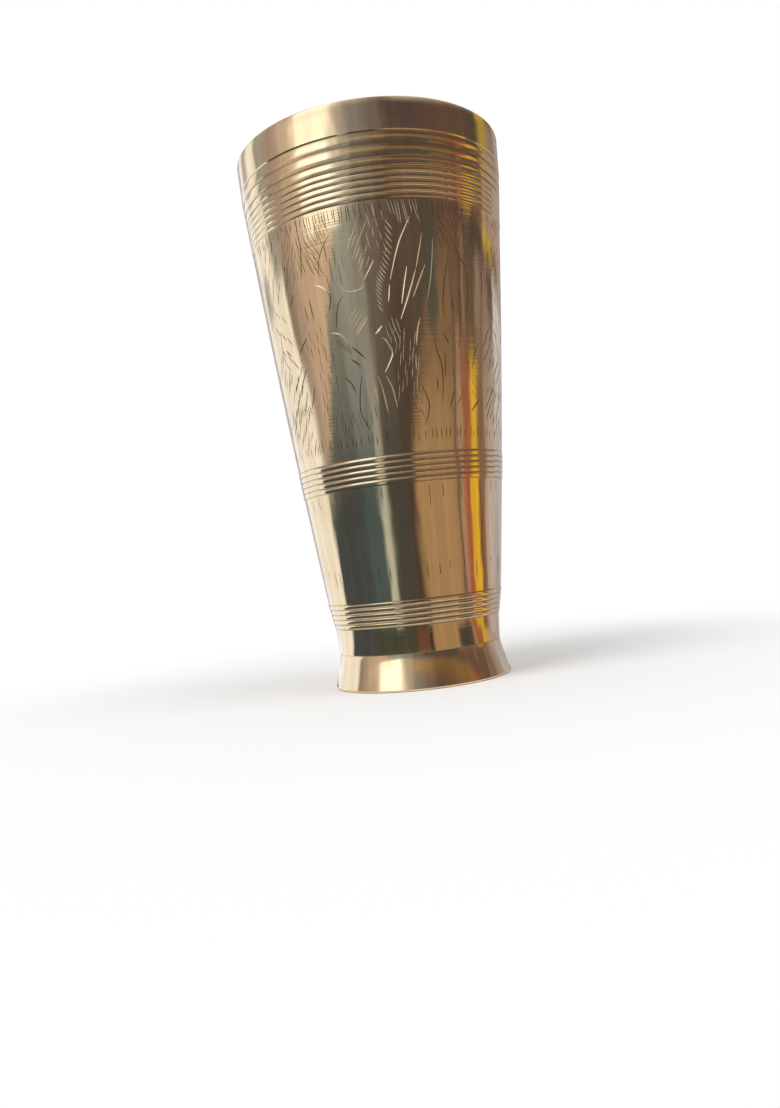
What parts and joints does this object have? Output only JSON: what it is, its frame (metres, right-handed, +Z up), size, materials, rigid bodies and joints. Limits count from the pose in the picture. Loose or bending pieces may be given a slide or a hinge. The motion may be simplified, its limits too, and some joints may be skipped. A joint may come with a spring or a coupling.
{
  "type": "tumbler",
  "caption": "Tall tapered bronze drinking tumbler with turned ribs, an engraved wall and a brazed-on flared foot.",
  "frame": {"origin": "middle of the ring that the foot stands on", "axes": "+Z up along the axis of the tumbler, towards the mouth; +X and +Y lie in the standing plane"},
  "size_m": [0.0998, 0.0998, 0.2],
  "materials": {
    "polished_bronze": "polished, with fine turning lines and hand-chased strokes",
    "turned_bronze": "satin as turned",
    "brazing_filler": "dull as cooled"
  },
  "bodies": {
    "root": {"body_wall": "polished_bronze", "foot_ring": "polished_bronze", "floor_disc": "turned_bronze", "seam_filler": "brazing_filler", "floor_filler": "brazing_filler", "foot_filler": "brazing_filler"}
  },
  "joints": []
}
